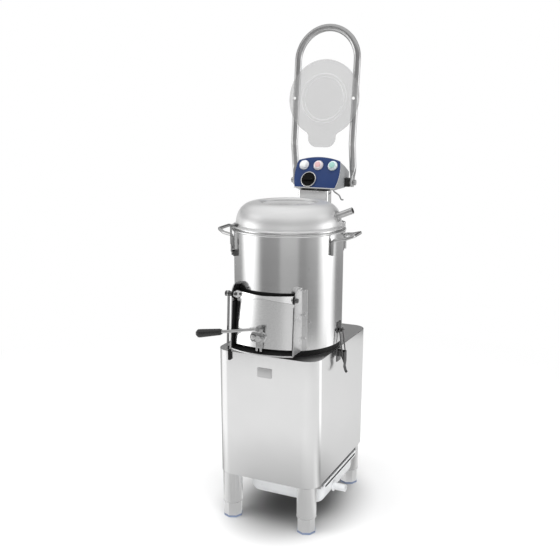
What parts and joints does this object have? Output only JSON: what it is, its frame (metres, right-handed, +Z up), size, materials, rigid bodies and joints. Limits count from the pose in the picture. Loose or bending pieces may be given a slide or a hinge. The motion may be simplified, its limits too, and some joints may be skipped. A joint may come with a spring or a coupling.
{
  "type": "electric potato peeler",
  "caption": "Floor-standing catering peeler: a drum with a clipped dome on a cabinet, a tilting guard arch with a lid, a lever-locked chute door, a timer panel and a sliding waste basin.",
  "frame": {"origin": "bottom centre of the whole machine's bounding box with the guard arch raised, on the floor", "axes": "+Z up; -Y towards the user at the discharge door; +X towards the side where the basin's drain stub and the water inlet come out"},
  "size_m": [0.4394, 0.5328, 1.5115],
  "materials": {
    "polished_steel": "polished stainless steel",
    "brushed_steel": "satin stainless steel",
    "dome_alloy": "satin spun aluminium",
    "cast_alloy": "as-cast aluminium",
    "drive_steel": "machined cast iron",
    "frame_paint": "grey paint",
    "motor_paint": "blue machine enamel",
    "abrasive": "silicon carbide grit bonded in resin",
    "black_rubber": "matt black rubber",
    "black_plastic": "moulded black plastic",
    "grey_plastic": "moulded pale grey plastic",
    "pad_plastic": "pale blue plastic",
    "lid_plastic": "milky translucent plastic",
    "panel_blue": "printed dark blue film",
    "button_white": "white silicone over plastic",
    "button_red": "red plastic under a clear boot",
    "button_green": "green plastic under a clear boot"
  },
  "bodies": {
    "machine": {"cabinet_shell": "polished_steel", "back_panel": "brushed_steel", "top_plate": "brushed_steel", "base_frame": "brushed_steel", "leg_sleeves": "polished_steel", "foot_inserts": "brushed_steel", "foot_pads": "pad_plastic", "cable_gland": "black_plastic", "waste_pipe": "brushed_steel", "base_ring": "black_rubber", "drum_shell": "polished_steel", "chamber_floor": "brushed_steel", "abrasive_liner": "abrasive", "bearing_housing": "cast_alloy", "main_bearings": "brushed_steel", "shaft_seal": "black_rubber", "motor_body": "motor_paint", "motor_bracket": "frame_paint", "drive_belt": "black_rubber", "chute_frame": "brushed_steel", "door_gasket": "black_rubber", "hinge_pins": "brushed_steel", "rubber_buffers": "black_rubber", "side_stay": "brushed_steel", "drum_handles": "polished_steel", "dome_lid": "dome_alloy", "water_inlet": "brushed_steel", "column": "polished_steel", "head_casing": "grey_plastic", "control_panel": "panel_blue", "timer_bezel": "brushed_steel", "pivot_blocks": "black_plastic", "pivot_bolts": "polished_steel", "latch_bases": "brushed_steel", "latch_catches": "brushed_steel"},
    "disc": {"abrasive_disc": "abrasive", "disc_nut": "brushed_steel", "main_shaft": "brushed_steel", "driven_pulley": "drive_steel"},
    "motor_rotor": {"motor_pulley": "drive_steel"},
    "door": {"door_panel": "polished_steel", "door_strap": "brushed_steel", "lever_pivot": "brushed_steel"},
    "lever": {"lever_hub": "cast_alloy", "lever_rod": "polished_steel", "lever_grip": "black_plastic"},
    "guard": {"guard_arch": "polished_steel", "lid_disc": "lid_plastic"},
    "button_white": {"button_white": "button_white"},
    "button_red": {"button_red": "button_red"},
    "button_green": {"button_green": "button_green"},
    "timer_knob": {"timer_knob": "black_plastic"},
    "latch_lever_right": {"latch_lever_right": "polished_steel"},
    "latch_bail_right": {"latch_bail_right": "polished_steel"},
    "latch_lever_left": {"latch_lever_left": "polished_steel"},
    "latch_bail_left": {"latch_bail_left": "polished_steel"},
    "lid_clip_right": {"lid_clip_right": "polished_steel"},
    "lid_clip_left": {"lid_clip_left": "polished_steel"},
    "basin": {"waste_basin": "grey_plastic", "drain_stub": "grey_plastic"}
  },
  "joints": [
    {"name": "disc_spin", "type": "hinge", "parent": "machine", "child": "disc", "pos_m": [0, -0.04486, 0.5], "axis": [0, 0, 1], "continuous": true},
    {"name": "motor_spin", "type": "hinge", "parent": "machine", "child": "motor_rotor", "pos_m": [0, 0.10514, 0.45], "axis": [0, 0, 1], "continuous": true},
    {"name": "door_hinge", "type": "hinge", "parent": "machine", "child": "door", "pos_m": [0, -0.21686, 0.732], "axis": [-1, 0, 0], "range_deg": [0, 80]},
    {"name": "door_lever", "type": "hinge", "parent": "door", "child": "lever", "pos_m": [0, -0.24636, 0.618], "axis": [0, 1, 0], "range_deg": [0, 50]},
    {"name": "guard_hinge", "type": "hinge", "parent": "machine", "child": "guard", "pos_m": [0, 0.22514, 1.026], "axis": [1, 0, 0], "range_deg": [0, 96.3]},
    {"name": "white_press", "type": "slide", "parent": "machine", "child": "button_white", "axis": [0, 0.8996, -0.4368], "range_m": [0, 0.003], "stiffness_N_per_m": 900, "springref_m": -0.001},
    {"name": "red_press", "type": "slide", "parent": "machine", "child": "button_red", "axis": [0, 0.8996, -0.4368], "range_m": [0, 0.003], "stiffness_N_per_m": 900, "springref_m": -0.001},
    {"name": "green_press", "type": "slide", "parent": "machine", "child": "button_green", "axis": [0, 0.8996, -0.4368], "range_m": [0, 0.003], "stiffness_N_per_m": 900, "springref_m": -0.001},
    {"name": "timer_turn", "type": "hinge", "parent": "machine", "child": "timer_knob", "pos_m": [-0.024, 0.1598, 1.03509], "axis": [0, 0.8996, -0.4368], "range_deg": [0, 300]},
    {"name": "latch_right", "type": "hinge", "parent": "machine", "child": "latch_lever_right", "pos_m": [0.176, -0.04086, 0.541], "axis": [0, -1, 0], "range_deg": [0, 90]},
    {"name": "latch_bail_right", "type": "hinge", "parent": "latch_lever_right", "child": "latch_bail_right", "pos_m": [0.184, -0.04086, 0.533], "axis": [0, -1, 0], "range_deg": [-90, 0]},
    {"name": "latch_left", "type": "hinge", "parent": "machine", "child": "latch_lever_left", "pos_m": [-0.176, -0.04086, 0.541], "axis": [0, 1, 0], "range_deg": [0, 90]},
    {"name": "latch_bail_left", "type": "hinge", "parent": "latch_lever_left", "child": "latch_bail_left", "pos_m": [-0.184, -0.04086, 0.533], "axis": [0, 1, 0], "range_deg": [-90, 0]},
    {"name": "lid_clip_right", "type": "hinge", "parent": "machine", "child": "lid_clip_right", "pos_m": [0.12745, 0.06989, 0.842], "axis": [-0.6691, 0.7431, 0], "range_deg": [0, 90]},
    {"name": "lid_clip_left", "type": "hinge", "parent": "machine", "child": "lid_clip_left", "pos_m": [-0.12745, -0.15962, 0.842], "axis": [0.6691, -0.7431, 0], "range_deg": [0, 90]},
    {"name": "basin_slide", "type": "slide", "parent": "machine", "child": "basin", "axis": [1, 0, 0], "range_m": [0, 0.22]}
  ],
  "couplings": [
    {"joint": "motor_spin", "follows": "disc_spin", "ratio": 3},
    {"joint": "latch_bail_right", "follows": "latch_right", "ratio": -1},
    {"joint": "latch_bail_left", "follows": "latch_left", "ratio": -1}
  ]
}
